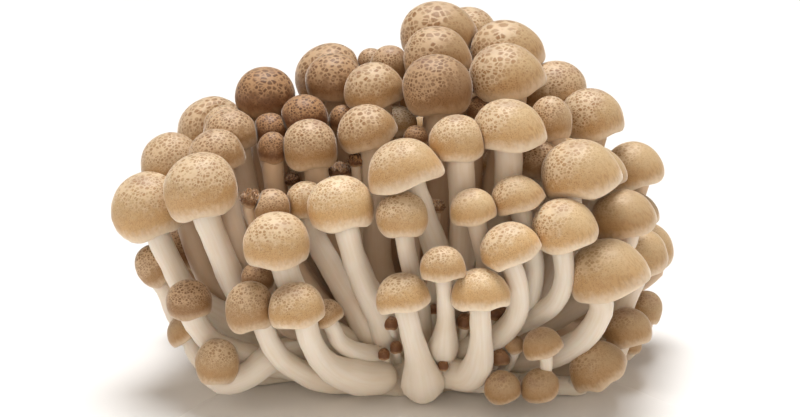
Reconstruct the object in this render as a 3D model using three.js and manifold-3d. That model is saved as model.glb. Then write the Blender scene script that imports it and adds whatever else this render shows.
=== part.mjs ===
// A cluster of beech mushrooms, cut from its growing block and stood on the cut.
// Every mushroom is a domed cap on a pale stem. The stems are grown together at a
// squat butt, so the stems, the butt and the smallest mushrooms are one solid, and
// each larger cap is a solid of its own on the end of its stem.
// Millimetres, +Z up, the front of the cluster faces -Y. The origin is the middle of
// the cluster's bounding box, on the surface it stands on.

import * as THREE from "three";
import { mergeVertices } from "three/addons/utils/BufferGeometryUtils.js";
import Module from "manifold-3d";

// Driving dimensions.
const EYE_RAISE = 20; // degrees the front drawing looks down by
const EYE_DISTANCE = 600; // from the eye to the aim point
const AIM_HEIGHT = 40; // of the aim point, above the middle of the butt
const AIM_UP = 48; // where the aim point falls on the front drawing
const STAND_SHIFT = [0.29, -5.78, 0]; // carries the butt's middle to its place in the box
const BUTT = { width: 66, depth: 52, height: 20 };
const OWN_NODE_DIAMETER = 11.7; // caps at least this wide are solids of their own
const GAP = 0.35; // left wherever two solids touch
const CAP_SIDES = 10;
const SMALL_CAP_SIDES = 7;
const SHOWN_STEM = { sides: 6, steps: 5 };
const HIDDEN_STEM = { sides: 5, steps: 2 };
const SMOOTH = 0.32; // detail smaller than this is dropped
const HIDDEN_STEM_SHARE = 0.4; // of the cap's diameter
const TALL_LIMITS = [0.45, 0.98]; // cap height over diameter
const RING_SHARES = [0, 0.53, 0.88, 1]; // how far up the dome a cap's rings are
const SIGHTINGS = 40; // tries at fitting a cap to its outline
const SIGHTED_SHARES = [0, 0.15, 0.3, 0.45, 0.6, 0.73, 0.84, 0.92, 0.98, 1];
const SIGHTED_SIDES = 24;

// Mushrooms that show from the front, one a row: name; [left, right, bottom, top] of
// the cap's outline on the front drawing; how far its middle is behind the middle of
// the butt; [lean to the right, nod to the front] in degrees; how far the apex sits off
// the middle, to the right, in radii; stem diameter.
const FRONT = [
  ["left_1", [-72.2, -54, 39.6, 57.4], -12, [-15, 0], 0.05, 6.2],
  ["left_2", [-59.1, -40.8, 44.8, 62.1], -22, [-14, 0], 0.04, 6.8],
  ["left_3", [-65, -48.5, 49.6, 67.1], -2, [-24, 0], 0.04, 6],
  ["left_4", [-55.6, -38.5, 60.1, 76.1], 17, [-22, 0], 0.04, 5.6],
  ["left_5", [-49.5, -35.2, 61.5, 72.9], 0, [-10, 0], 0, 6.4],
  ["left_6", [-49, -38.2, 65.1, 73.9], 9, [-10, 0], 0, 5],
  ["left_7", [-52.9, -38.9, 55.9, 67.9], -10, [-14, 0], 0, 6.6],
  ["left_8", [-41.1, -26.2, 70.6, 83.4], 14, [0, 0], 0, 7.2],
  ["left_9", [-36.8, -28, 64.4, 71.9], 2, [0, 0], 0, 7.4],
  ["left_10", [-35.6, -28, 59.1, 67.2], -7, [0, 0], 0, 5.3],
  ["left_11", [-29.9, -18, 66.6, 76.5], 4, [0, 0], 0, 6],
  ["left_12", [-26.2, -9.5, 73.6, 89.4], 30, [-18, 0], 0.04, 6.2],
  ["left_13", [-23.7, -9.4, 74.4, 86.8], 18, [-8, 0], 0, 6.8],
  ["left_14", [-13.9, 0.9, 72.1, 84.6], 8, [-14, 0], -0.02, 6.6],
  ["left_15", [-29.4, -15.6, 57.5, 70.4], -8, [-4, 0], 0, 6.2],
  ["left_16", [-15.6, -0.8, 61.6, 74.1], -6, [-20, 0], -0.02, 6.6],
  ["left_17", [-17.8, -11, 66.9, 73.9], 6, [0, 0], 0, 3.6],
  ["left_18", [-66.3, -55.4, 27.6, 39.4], -9, [-35, 0], 0, 5],
  ["left_19", [-59.4, -49.9, 32.1, 44.4], 2, [10, 0], 0, 4],
  ["left_20", [-58.2, -48.5, 13.6, 22.6], -20, [-42, 0], 0, 5],
  ["left_21", [-58.5, -47.1, 19.9, 30.4], -27, [-9, 0], 0, 6.2],
  ["left_22", [-51.2, -40.1, 3.8, 15.6], -32, [4, 4], 0, 6.8],
  ["hollow_1", [-37, -27.2, 44.6, 53], -20, [0, 0], 0, 4.4],
  ["hollow_2", [-39.7, -34.7, 47.5, 54], -20, [10, 0], 0, 3],
  ["hollow_3", [-18.2, -12, 55.6, 59.9], -4, [0, 0], 0, 3],
  ["hollow_4", [-28.9, -25.1, 53.6, 57.1], -3, [0, 0], 0, 2.4],
  ["hollow_5", [0.8, 7.2, 63.5, 68.8], -6, [0, 0], 0, 3.4],
  ["hollow_6", [-13, -9, 58.4, 62.2], -6, [0, 0], 0, 2.6],
  ["hollow_7", [6.7, 11.3, 46.8, 50.7], -18, [0, 0], 0, 2.4],
  ["hollow_8", [29.4, 40.2, 55.4, 65.2], -8, [0, 0], 0, 4.6],
  ["hollow_9", [16.6, 23.6, 69.4, 76.4], 6, [0, 0], 0, 3.6],
  ["top_1", [0.1, 20, 85.6, 99.8], 32, [-5, 0], -0.06, 7.2],
  ["top_2", [9.5, 24.5, 86.6, 98.4], 45, [0, 0], 0, 6.6],
  ["top_3", [0.9, 18, 80.6, 93.6], 18, [-5, 0], -0.06, 7.4],
  ["top_4", [17.6, 36.4, 81.6, 95.1], 26, [-8, 0], -0.08, 7.6],
  ["top_5", [0.6, 18.1, 71, 86.6], 2, [-5, 0], -0.04, 7],
  ["top_6", [17.1, 36.3, 74.4, 89.4], 8, [-13, 0], -0.06, 8.6],
  ["top_7", [-10.9, -3.5, 80.6, 88.1], 32, [0, 0], 0, 4.8],
  ["top_8", [-7.5, 2.5, 79.1, 88.8], 22, [0, 0], 0, 5.2],
  ["top_9", [30.4, 46.5, 70.4, 84.9], 22, [4, 0], 0.08, 6.4],
  ["top_10", [40, 55.9, 64.9, 78.1], 10, [-8, 0], -0.06, 6.2],
  ["top_11", [32.5, 43, 64.6, 76.3], -3, [-8, 0], 0, 6.4],
  ["middle_1", [7.1, 21.4, 59.5, 71.5], -18, [0, 0], 0, 6.8],
  ["middle_2", [18.4, 37, 62, 75.4], -14, [-5, 0], -0.08, 7],
  ["middle_3", [-8.2, 10.8, 51.4, 65.6], -25, [-17, -8], 0, 6.4],
  ["middle_4", [-6, 7.1, 40.6, 52.4], -31, [-4, 0], 0, 4.8],
  ["right_1", [35.2, 55.2, 49.5, 65.4], -18, [-14, 0], -0.04, 6.4],
  ["right_2", [40.2, 56.8, 50.1, 63.6], -6, [-10, 0], -0.04, 6.8],
  ["right_3", [51, 65.8, 52.4, 64.8], 11, [-14, 0], -0.02, 5.8],
  ["right_4", [22.8, 36.2, 46.2, 56.4], -24, [-17, -5], -0.04, 5.4],
  ["right_5", [12.5, 24.2, 43.4, 53.1], -28, [-12, 0], 0, 4.8],
  ["right_6", [32.8, 49.4, 36.6, 50.6], -28, [-14, 0], -0.04, 5.2],
  ["right_7", [47.9, 64, 39.8, 52.9], -11, [-15, 0], -0.04, 6],
  ["right_8", [51.5, 64.6, 41.1, 52.1], 7, [-15, 0], 0, 5.4],
  ["right_9", [42.2, 62.4, 24, 40.5], -26, [-21, 0], -0.04, 6.2],
  ["right_10", [52.5, 66.6, 29.2, 43.1], -3, [-25, 0], 0, 6.6],
  ["right_11", [55.5, 68.1, 31.6, 44.5], 13, [-20, 0], 0, 4.8],
  ["right_12", [57.2, 65.6, 18.6, 27.5], 2, [10, 0], 0, 5],
  ["right_13", [50.4, 63.2, 13, 23.3], -14, [-10, 0], 0, 7.2],
  ["right_14", [54.5, 60.4, 11.4, 16.6], -8, [0, 0], 0, 3.4],
  ["right_15", [42.3, 56.6, 2, 15], -26, [-28, 6], 0, 5],
  ["low_1", [20.9, 30.2, -1, 7.6], -35, [-8, 22], 0, 4],
  ["low_2", [30.2, 40, -0.8, 8.2], -34, [-14, 20], 0, 4],
  ["low_3", [30.7, 40.7, 10, 18.4], -33, [-18, 0], 0, 3.4],
  ["low_4", [25.9, 31.3, 11.5, 16.2], -28, [-8, 0], 0, 2.6],
  ["low_5", [22.5, 27.6, 8.6, 13.2], -29, [-4, 0], 0, 2.6],
  ["pin_1", [9.4, 12.2, 7.3, 10.3], -31, [0, 0], 0, 2],
  ["pin_2", [-5.5, -2.5, 10, 13.2], -28, [0, 0], 0, 2.2],
  ["pin_3", [-2.6, 0.6, 11.6, 15], -27, [0, 0], 0, 2.2],
  ["pin_4", [-4, -0.4, 17.5, 21.1], -27, [0, 0], 0, 2.2],
  ["pin_5", [14.1, 18.3, 17.7, 21.9], -27.5, [0, 0], 0, 2.4],
  ["pin_6", [21.7, 26.7, 19.9, 24.6], -24, [0, 0], 0, 2.6],
  ["pin_7", [7.2, 9.8, 21.5, 24.2], -24, [0, 0], 0, 2],
  ["front_1", [-6, 7.9, 21.5, 32], -37, [-11, -8], -0.02, 5.6],
  ["front_2", [4.9, 16.5, 29.6, 38.7], -38, [-4, -8], 0, 4.2],
  ["front_3", [13, 27.6, 22.3, 33.2], -38, [-5, -10], 0, 5.4],
  ["front_4", [20, 35, 32, 44.7], -34, [-24, -6], 0, 5.2],
  ["front_5", [-39.1, -22.4, 32.6, 47.2], -33, [-4, 0], 0, 6.8],
  ["front_6", [-23.2, -6.6, 42.1, 56.3], -28, [-7, -9], 0, 6.2],
  ["front_7", [-28.6, -18.5, 45.2, 54.9], -17, [0, 0], 0, 6],
  ["front_8", [-33, -18.8, 17.7, 29.7], -39, [-8, 0], 0, 6],
  ["front_9", [-22.2, -14.2, 17.9, 25.4], -33, [-25, 0], 0.04, 4.2],
  ["front_10", [-43.8, -31.4, 16.9, 29.9], -35, [-10, 0], 0.04, 5.4],
  ["front_11", [-39.8, -31.2, 27.1, 34.6], -27, [0, 0], 0, 4],
];

// The stems that show: each one's way from its foot to just under its cap, as points
// on the front drawing. A stem that isn't listed goes from the butt to its cap in a bow.
const ROUTES = {
  "left_1": [[-14, 12, -4], [-36, 16.5, -11], [-46, 22, -14], [-53.3, 27.5, -15], [-57, 34, -14.5], [-60, 40, -13]],
  "left_2": [[-12, 12, -8], [-31, 19.5, -19], [-40.5, 27.5, -22], [-44.5, 36.3, -23], [-48, 44.5, -22]],
  "left_3": [[-12, 14, 0], [-36, 21, -4], [-46, 28, -7], [-50.2, 36, -7], [-52.2, 41.5, -6], [-53.5, 46, -5]],
  "left_5": [[-8, 14, 0], [-27, 32, -4], [-36, 47, -3], [-39.3, 57.5, -2]],
  "left_4": [[-10, 16, 6], [-30, 26, 6], [-38, 38.8, 8], [-41.5, 47, 10], [-44.5, 56, 12]],
  "left_7": [[-12, 13, -4], [-26, 20, -11], [-36, 30, -16], [-40, 37, -17], [-42.3, 45, -16], [-44, 54, -13]],
  "left_8": [[-10, 16, 6], [-26, 40, 11], [-33.5, 58, 13], [-34, 66, 13.5]],
  "left_10": [[-10, 14, -4], [-26, 34, -8], [-31.2, 53.3, -8], [-31.7, 58.5, -7.5]],
  "left_15": [[-8, 14, -4], [-17, 38, -9], [-20.5, 54, -9], [-20.9, 58, -9]],
  "left_18": [[-16, 8, -4], [-40, 8, -12], [-50.5, 13, -14], [-56.4, 22, -12], [-58.5, 27.8, -10]],
  "left_20": [[-18, 6, -10], [-40, 5.5, -18], [-47, 7.5, -21.5], [-50.8, 11.5, -21.5], [-52.4, 15.2, -20.5]],
  "left_21": [[-20, 8, -16], [-36, 10.5, -24], [-46.5, 14.5, -27], [-51.3, 19.7, -28]],
  "left_22": [[-12, 10, -14], [-26, 12.5, -23], [-33, 10, -28], [-39, 6, -30.5], [-45.5, 5, -31]],
  "hollow_1": [[-10, 13, -12], [-24, 30, -20], [-30, 42, -21]],
  "middle_1": [[7, 13, -10], [13.4, 28, -18], [15.7, 40, -20], [15.5, 52, -20], [15.2, 58, -19.5]],
  "middle_2": [[12, 14, -8], [22, 36, -16], [26.5, 52, -17], [27.2, 60, -16]],
  "middle_3": [[7, 13, -14], [10.3, 28, -20], [9.2, 37, -23], [6.4, 45, -24.5], [4, 51.5, -25]],
  "middle_4": [[6, 13, -16], [5, 22, -24], [3, 31.3, -29], [1.2, 40, -31]],
  "right_1": [[16, 14, -6], [32.5, 25, -12], [39.5, 38, -15], [42.5, 48, -17]],
  "right_4": [[14, 13, -12], [28.5, 20, -20], [32.5, 27, -24], [33.3, 35, -25], [31, 44.5, -25]],
  "right_5": [[13, 12, -16], [21, 24, -24], [21.4, 35, -27], [19.2, 43.5, -28]],
  "right_6": [[16, 13, -14], [30, 19.5, -22], [37.5, 23.5, -26], [40.8, 29, -28.5], [40.9, 36, -29]],
  "right_8": [[18, 11, 4], [37, 16.5, 10], [46, 22, 11], [51.5, 30, 11.5], [55.5, 38, 9.5]],
  "right_9": [[18, 11, -14], [35, 11, -22], [43.5, 13.8, -26], [48, 18, -28.5], [50.4, 23.7, -29.5]],
  "right_10": [[18, 10, 0], [46, 13, -7], [53.2, 19.5, -8], [56.4, 26, -7.5], [59.3, 33, -5]],
  "right_13": [[20, 8, -6], [44, 9, -12], [54, 13, -14]],
  "right_15": [[20, 6, -14], [36, 4, -22], [45.5, 4, -25]],
  "low_1": [[12, 5, -18], [22, 4, -29]],
  "low_2": [[16, 5, -18], [32, 4, -29]],
  "low_3": [[18, 6, -18], [34, 5, -28], [36.6, 9.3, -33]],
  "low_4": [[18, 8, -18], [26, 8, -25], [28.5, 11.5, -28]],
  "low_5": [[18, 7, -18], [23.5, 8.8, -27]],
  "pin_1": [[9, 6, -20], [10.6, 7.8, -29]],
  "pin_2": [[-2, 8, -18], [-3.6, 10.4, -26.5]],
  "pin_3": [[0, 9, -18], [-0.8, 12, -25.5]],
  "pin_4": [[0, 12, -18], [-2, 17.8, -26]],
  "pin_5": [[14, 12, -18], [16, 18, -26]],
  "pin_6": [[18, 12, -18], [23.8, 20.5, -23.5]],
  "pin_7": [[8, 12, -18], [8.4, 21.7, -23.5]],
  "front_1": [[6, 6.5, -21], [5.6, 5, -30.5], [5, 8.5, -31.5], [3.3, 15, -34], [2, 20.5, -36]],
  "front_2": [[10.5, 13, -18], [10.8, 13.3, -28.5], [11.4, 20, -32], [11, 28.5, -37]],
  "front_3": [[12, 7, -27], [17.5, 6.3, -31], [20, 11, -33.5], [20.1, 21.5, -37]],
  "front_4": [
    [15, 12.5, -22], [23.5, 15.5, -27], [28.5, 20.5, -30.5],
    [29.7, 27, -32.5], [28.4, 32.3, -34],
  ],
  "front_5": [[-10, 12, -18], [-21, 18.5, -27], [-26.2, 27, -31], [-28.7, 33, -32.5]],
  "front_6": [[-2.5, 11, -18], [-3, 14.5, -20.5], [-5, 21, -24], [-9.8, 31.3, -28], [-13.2, 42, -30.5]],
  "front_7": [[-5, 12, -17], [-7.5, 16.5, -20], [-12, 25, -21], [-17.5, 34, -20], [-21.8, 42.6, -17.6]],
  "front_8": [
    [-5, 5.8, -27], [-10, 5.9, -30], [-15.5, 7.2, -33],
    [-19.5, 10, -35], [-22, 14, -37], [-23.2, 18, -38.5],
  ],
  "front_9": [[-5, 11, -24], [-10.5, 12, -28], [-15, 14.5, -31.5], [-17, 18.3, -33]],
  "front_10": [[-10, 5.5, -22], [-19, 5.8, -27], [-25, 7.5, -31], [-30, 11, -33.5], [-33.5, 16.7, -35]],
  "front_11": [[-10, 10, -16], [-28, 18, -24], [-33, 25.5, -27]],
};

// Rings of mushrooms round the back, and one inside the cluster: name; height of the
// cap middles over the surface; half width; half depth; how many; cap diameter; lean
// outwards; the angle kept clear at either side of the cluster.
const BACK_RINGS = [
  ["back_high", 62, 42, 41, 5, 19.4, 14, 34],
  ["back_middle", 45, 57, 49, 8, 17, 22, 20],
  ["back_low", 24, 60, 46, 9, 9.6, 30, 12],
  ["back_foot", 9, 51, 38, 5, 8.5, 40, 16],
  ["inside", 55, 30, 14, 3, 10.5, 6, 0],
];

const radians = THREE.MathUtils.degToRad;
const wasm = await Module();
wasm.setup();

// The point at a given depth that shows at (across, up) on the front drawing.
function fromDrawing([across, up, back]) {
  const cos = Math.cos(radians(EYE_RAISE));
  const sin = Math.sin(radians(EYE_RAISE));
  const slope = (up - AIM_UP) / EYE_DISTANCE;
  const rise = (slope * EYE_DISTANCE + back * (slope * cos - sin)) / (cos + slope * sin);
  const away = back * cos - rise * sin;
  const x = (across * (EYE_DISTANCE + away)) / EYE_DISTANCE;
  return new THREE.Vector3(x, back, AIM_HEIGHT + rise).add(new THREE.Vector3(...STAND_SHIFT));
}

// Where a point shows on the front drawing.
function toDrawing(point) {
  const cos = Math.cos(radians(EYE_RAISE));
  const sin = Math.sin(radians(EYE_RAISE));
  const { x, y, z } = point.clone().sub(new THREE.Vector3(...STAND_SHIFT));
  const rise = z - AIM_HEIGHT;
  const scale = EYE_DISTANCE / (EYE_DISTANCE + y * cos - rise * sin);
  return new THREE.Vector2(x * scale, AIM_UP + (y * sin + rise * cos) * scale);
}

// A number from -1 to 1 that differs from one whole number to the next.
function vary(index) {
  return Math.sin(index * 12.9898 + 1.7);
}

// The way of a stem that isn't in the routes: out of the butt, and up in a bow.
function bowTo(neck, below) {
  const butt = new THREE.Vector3(...STAND_SHIFT);
  const out = neck.clone().sub(butt).setZ(0);
  const share = 0.42 / Math.max(60, out.length());
  const size = new THREE.Vector3(BUTT.width, BUTT.depth, 0);
  const foot = butt.clone().addScaledVector(out.clone().multiply(size), share);
  foot.z = 0.3 * BUTT.height;
  const bow = foot.clone().lerp(below, 0.5).addScaledVector(out, 0.1);
  bow.z -= 0.04 * neck.z;
  return [foot, bow, below];
}

// Half of a cap's outline, from the edge of its underside to its top, as [out, up] in
// radii and heights. A flat cap has a sharp margin, and a tall one is fullest a third
// of the way up. Shares say how far up the dome the points are taken.
function capSide(tall, shares) {
  const young = THREE.MathUtils.clamp((tall - 0.56) / 0.2, 0, 1);
  const fullest = 0.07 + 0.31 * young;
  const dome = shares.map((share) => {
    return [(1 - share * share) ** 0.45, fullest + (1 - fullest) * share];
  });
  return [[0.96 - 0.16 * young, 0], ...dome];
}

function turnOf([lean, nod]) {
  return new THREE.Euler(radians(nod), radians(lean), 0);
}

// The size and place of the cap whose outline fills a box on the front drawing.
function capInBox([left, right, bottom, top], back, tip, skew) {
  const box = new THREE.Box2(new THREE.Vector2(left, bottom), new THREE.Vector2(right, top));
  const wanted = box.getSize(new THREE.Vector2());
  const spot = box.getCenter(new THREE.Vector2());
  const turn = turnOf(tip);
  let diameter = wanted.x;
  let tall = wanted.y / wanted.x;
  for (let round = 0; round < SIGHTINGS; round++) {
    const centre = fromDrawing([spot.x, spot.y, back]);
    const seen = new THREE.Box2();
    for (const [out, up] of capSide(tall, SIGHTED_SHARES)) {
      for (let k = 0; k < SIGHTED_SIDES; k++) {
        const angle = (k * 2 * Math.PI) / SIGHTED_SIDES;
        const across = out * Math.cos(angle) + skew * (2 * up - 1);
        const point = new THREE.Vector3(across, out * Math.sin(angle), (2 * up - 1) * tall);
        point.multiplyScalar(diameter / 2).applyEuler(turn).add(centre);
        seen.expandByPoint(toDrawing(point));
      }
    }
    const size = seen.getSize(new THREE.Vector2());
    diameter *= 1 + 0.7 * (wanted.x / size.x - 1);
    tall = THREE.MathUtils.clamp(tall * (1 + 0.6 * (wanted.y / size.y - 1)), ...TALL_LIMITS);
    spot.add(box.getCenter(new THREE.Vector2())).sub(seen.getCenter(new THREE.Vector2()));
  }
  return [fromDrawing([spot.x, spot.y, back]), diameter, tall];
}

// One mushroom's placed cap and stem route.
function mushroom(name, centre, diameter, tall, tip, skew, stem) {
  const turn = turnOf(tip);
  const axis = new THREE.Vector3(0, 0, 1).applyEuler(turn);
  const height = diameter * tall;
  const neck = centre.clone().addScaledVector(axis, -height / 2);
  let route = (ROUTES[name] ?? []).map(fromDrawing);
  if (route.length) {
    const last = route[route.length - 1];
    const rise = neck.clone().sub(last).dot(axis);
    neck.copy(last).addScaledVector(axis, rise);
  } else {
    route = bowTo(neck, neck.clone().addScaledVector(axis, -0.14 * diameter));
  }
  return { name, centre, turn, axis, diameter, height, skew, stem, neck, route };
}

function frontMushroom([name, outline, back, tip, skew, stem]) {
  return mushroom(name, ...capInBox(outline, back, tip, skew), tip, skew, stem);
}

function backMushrooms() {
  const made = [];
  BACK_RINGS.forEach((ringRow, ring) => {
    const [name, height, halfWidth, halfDepth, count, size, lean, clear] = ringRow;
    for (let i = 0; i < count; i++) {
      const step = i + 10 * ring;
      const share = (i + 0.5 + 0.12 * vary(step)) / count;
      const round = radians(clear + share * (180 - 2 * clear));
      const side = Math.cos(round);
      const rear = Math.sin(round);
      const dome = 1 - 0.22 * side * side;
      const middle = new THREE.Vector3(
        halfWidth * side,
        halfDepth * rear + 3 * vary(step + 3),
        height * dome + 4 * vary(step + 5),
      ).add(new THREE.Vector3(...STAND_SHIFT));
      const diameter = size * (1 + 0.24 * vary(step + 7));
      const tall = 0.72 + 0.06 * vary(step + 9);
      const tip = [lean * side, -lean * rear];
      const stem = HIDDEN_STEM_SHARE * diameter;
      made.push(mushroom(`${name}_${i + 1}`, middle, diameter, tall, tip, 0, stem));
    }
  });
  return made;
}

function solidFrom(geometry) {
  const bare = geometry.clone();
  bare.deleteAttribute("normal");
  bare.deleteAttribute("uv");
  const merged = mergeVertices(bare, 1e-3);
  return new wasm.Manifold(
    new wasm.Mesh({
      numProp: 3,
      vertProperties: new Float32Array(merged.attributes.position.array),
      triVerts: new Uint32Array(merged.index.array),
    }),
  );
}

// The cap: a dome with a flat underside. Grow swells it all round.
function capSolid(m, grow = 0) {
  const radius = m.diameter / 2 + grow;
  const half = m.height / 2;
  const side = capSide(m.height / m.diameter, RING_SHARES);
  const outline = [[0, 0], ...side].map(([out, up]) => {
    return new THREE.Vector2(out * radius, (2 * up - 1) * (half + grow));
  });
  const sides = m.diameter < OWN_NODE_DIAMETER ? SMALL_CAP_SIDES : CAP_SIDES;
  const dome = new THREE.LatheGeometry(outline, sides).rotateX(Math.PI / 2);
  const place = new THREE.Matrix4().makeRotationFromEuler(m.turn).setPosition(m.centre);
  const shear = new THREE.Matrix4().makeShear(0, 0, 0, 0, (m.skew * m.diameter) / 2 / half, 0);
  return solidFrom(dome.applyMatrix4(shear).applyMatrix4(place));
}

// The stem: a round bar bent along its route, swollen at the foot. Its top stays a gap
// short of the cap, or runs into the cap where the two are one solid.
function stemSolid(m, grow = 0) {
  const into = m.diameter < OWN_NODE_DIAMETER ? 0.25 * m.height : -GAP;
  const top = m.neck.clone().addScaledVector(m.axis, into);
  const curve = new THREE.CatmullRomCurve3([...m.route, top], false, "centripetal");
  const { sides, steps } = m.name in ROUTES ? SHOWN_STEM : HIDDEN_STEM;
  const frames = curve.computeFrenetFrames(steps, false);
  const bar = new THREE.CylinderGeometry(1, 1, 1, sides, steps);
  const place = bar.attributes.position;
  for (let i = 0; i < place.count; i++) {
    const step = Math.round((place.getY(i) + 0.5) * steps);
    const along = step / steps;
    const radius = (m.stem / 2) * (1 + 0.45 * (1 - along) ** 4) + grow;
    const spot = curve
      .getPointAt(along)
      .addScaledVector(frames.normals[step], place.getZ(i) * radius)
      .addScaledVector(frames.binormals[step], place.getX(i) * radius);
    place.setXYZ(i, spot.x, spot.y, spot.z);
  }
  return solidFrom(bar);
}

// The butt: the solid mound that all the stems rise from, cut flat below.
function buttSolid(grow = 0) {
  const outline = [[0, 0], [1, 0], [1, 0.25], [0.85, 0.5], [0.5, 0.85], [0, 1]];
  const mound = new THREE.LatheGeometry(outline.map(([r, z]) => new THREE.Vector2(r, z)), 16);
  mound.rotateX(Math.PI / 2);
  mound.scale(BUTT.width / 2 + grow, BUTT.depth / 2 + grow, BUTT.height + grow);
  mound.translate(STAND_SHIFT[0], STAND_SHIFT[1], 0);
  return solidFrom(mound);
}

function largest(solid) {
  return solid.decompose().reduce((a, b) => (b.volume() > a.volume() ? b : a));
}

function apart(a, b) {
  const p = a.boundingBox();
  const q = b.boundingBox();
  return [0, 1, 2].some((k) => p.min[k] > q.max[k] || q.min[k] > p.max[k]);
}

function meshOf(name, solid, material, turn, centre) {
  const { numProp, numVert, vertProperties, triVerts } = solid.getMesh();
  const places = new Float32Array(numVert * 3);
  for (let i = 0; i < numVert; i++) {
    places.set(vertProperties.subarray(i * numProp, i * numProp + 3), i * 3);
  }
  const geometry = new THREE.BufferGeometry();
  geometry.setAttribute("position", new THREE.BufferAttribute(places, 3));
  geometry.setIndex(new THREE.BufferAttribute(triVerts, 1));
  const mesh = new THREE.Mesh(geometry, material);
  mesh.name = name;
  mesh.rotation.copy(turn);
  mesh.position.copy(centre);
  mesh.updateMatrix();
  geometry.applyMatrix4(mesh.matrix.clone().invert());
  geometry.computeVertexNormals();
  return mesh;
}

const capFlesh = new THREE.MeshStandardMaterial({ color: "#bd9567", roughness: 0.6, metalness: 0 });
const stemFlesh = new THREE.MeshStandardMaterial({ color: "#e2d6c6", roughness: 0.7, metalness: 0 });

const mushrooms = [...FRONT.map(frontMushroom), ...backMushrooms()];
const ownCaps = mushrooms.filter((m) => m.diameter >= OWN_NODE_DIAMETER);
const joinedCaps = mushrooms.filter((m) => m.diameter < OWN_NODE_DIAMETER);

// Everything stands on the surface, so nothing is kept below it.
const aboveSurface = solidFrom(new THREE.BoxGeometry(400, 400, 200).translate(0, 0, 100));
const clump = wasm.Manifold.union([
  buttSolid(),
  ...mushrooms.map((m) => stemSolid(m)),
  ...joinedCaps.map((m) => capSolid(m)),
]).intersect(aboveSurface);
const clearance = wasm.Manifold.union([
  buttSolid(GAP),
  ...mushrooms.map((m) => stemSolid(m, GAP)),
  ...joinedCaps.map((m) => capSolid(m, GAP)),
]);

const cluster = new THREE.Group();
const noTurn = new THREE.Euler();
const body = largest(clump.simplify(SMOOTH));
cluster.add(meshOf("stems_and_butt", body, stemFlesh, noTurn, new THREE.Vector3()));

const swollen = [];
for (const m of ownCaps) {
  let solid = capSolid(m).intersect(aboveSurface).subtract(clearance);
  for (const other of swollen) {
    if (!apart(solid, other)) solid = solid.subtract(other);
  }
  swollen.push(capSolid(m, GAP));
  cluster.add(meshOf(`cap_${m.name}`, largest(solid), capFlesh, m.turn, m.centre));
}

export default cluster;
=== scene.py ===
import math

import bmesh
import bpy
from mathutils import Matrix, Vector, geometry, noise


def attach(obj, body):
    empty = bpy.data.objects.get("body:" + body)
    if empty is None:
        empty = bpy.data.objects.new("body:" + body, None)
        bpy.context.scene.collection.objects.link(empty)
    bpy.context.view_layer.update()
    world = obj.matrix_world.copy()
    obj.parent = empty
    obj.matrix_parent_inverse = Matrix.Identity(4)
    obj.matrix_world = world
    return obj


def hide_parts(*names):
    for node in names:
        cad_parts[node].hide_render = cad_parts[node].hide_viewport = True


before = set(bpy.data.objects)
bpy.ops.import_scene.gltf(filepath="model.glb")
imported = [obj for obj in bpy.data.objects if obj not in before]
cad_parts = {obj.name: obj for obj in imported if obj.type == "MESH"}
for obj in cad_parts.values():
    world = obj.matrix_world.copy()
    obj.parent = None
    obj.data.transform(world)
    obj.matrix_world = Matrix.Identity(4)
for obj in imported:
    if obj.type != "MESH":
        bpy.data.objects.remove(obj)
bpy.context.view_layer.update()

# ------------------------------------------------------------------ the butt
# The squat lump that all the stems start from. It is solid mushroom flesh that was
# sliced off its growing block, so it is flat below, and it is covered with a pale wool
# of fine threads. It is one piece with the feet of the stems.

STAND = Vector((0.29, -5.78, 0))  # the butt's middle, in millimetres
BUTT_WIDTH, BUTT_DEPTH, BUTT_HEIGHT = 66, 52, 20
BUTT_INSET = 0.94  # leaves room for its lumps inside the solid
UP = Vector((0, 0, 1))


class Value:
    """A number, colour or place in a finish, which takes Python's own signs."""

    def __init__(self, finish, socket):
        self.finish, self.socket = finish, socket

    def maths(self, operation, first, second):
        return self.finish.node("Math", {"operation": operation}, {0: first, 1: second})

    def __add__(self, other):
        return self.maths("ADD", self, other)

    def __sub__(self, other):
        return self.maths("SUBTRACT", self, other)

    def __rsub__(self, other):
        return self.maths("SUBTRACT", other, self)

    def __mul__(self, other):
        return self.maths("MULTIPLY", self, other)

    __radd__, __rmul__ = __add__, __mul__


class Finish:
    """One material, and the nodes that make its pattern."""

    def __init__(self, name, **settled):
        self.material = bpy.data.materials.new(name)
        self.material.use_nodes = True
        self.tree = self.material.node_tree
        self.surface = self.tree.nodes["Principled BSDF"]
        self.wire(self.surface, {key.replace("_", " "): value for key, value in settled.items()})

    def wire(self, node, sockets):
        """Sets each socket to a number or colour, or links a value to it."""
        for key, value in sockets.items():
            if isinstance(value, Value):
                self.tree.links.new(value.socket, node.inputs[key])
            else:
                node.inputs[key].default_value = value

    def node(self, kind, settings=None, sockets=None, out=0):
        """One of the outputs of a new node with these settings and sockets."""
        made = self.tree.nodes.new("ShaderNode" + kind)
        for key, value in (settings or {}).items():
            setattr(made, key, value)
        self.wire(made, sockets or {})
        return Value(self, made.outputs[out])

    def carried(self, name, out="Fac"):
        """What a mesh carries at each of its corners under a name."""
        return self.node("Attribute", {"attribute_name": name}, out=out)

    def place(self):
        return self.node("TexCoord", out="Object")

    def cloud(self, where, scale, detail=2.0, out=0):
        """Noise from 0 to 1, or with out=1 a noise of three such numbers."""
        return self.node("TexNoise", {}, {"Vector": where, "Scale": scale, "Detail": detail}, out)

    def step(self, value, low, high):
        """0 below low, 1 above high, and smooth between."""
        return self.node(
            "MapRange",
            {"interpolation_type": "SMOOTHSTEP"},
            {"Value": value, "From Min": low, "From Max": high},
        )

    def mix(self, share, first, second):
        return self.node("Mix", {"data_type": "RGBA"}, {0: share, 6: first, 7: second}, out=2)

    def relief(self, height, depth, strength=1.0):
        """Raises the surface by up to the depth, in millimetres."""
        return self.node(
            "Bump", {}, {"Height": height, "Distance": depth / 1000, "Strength": strength}
        )


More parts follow.
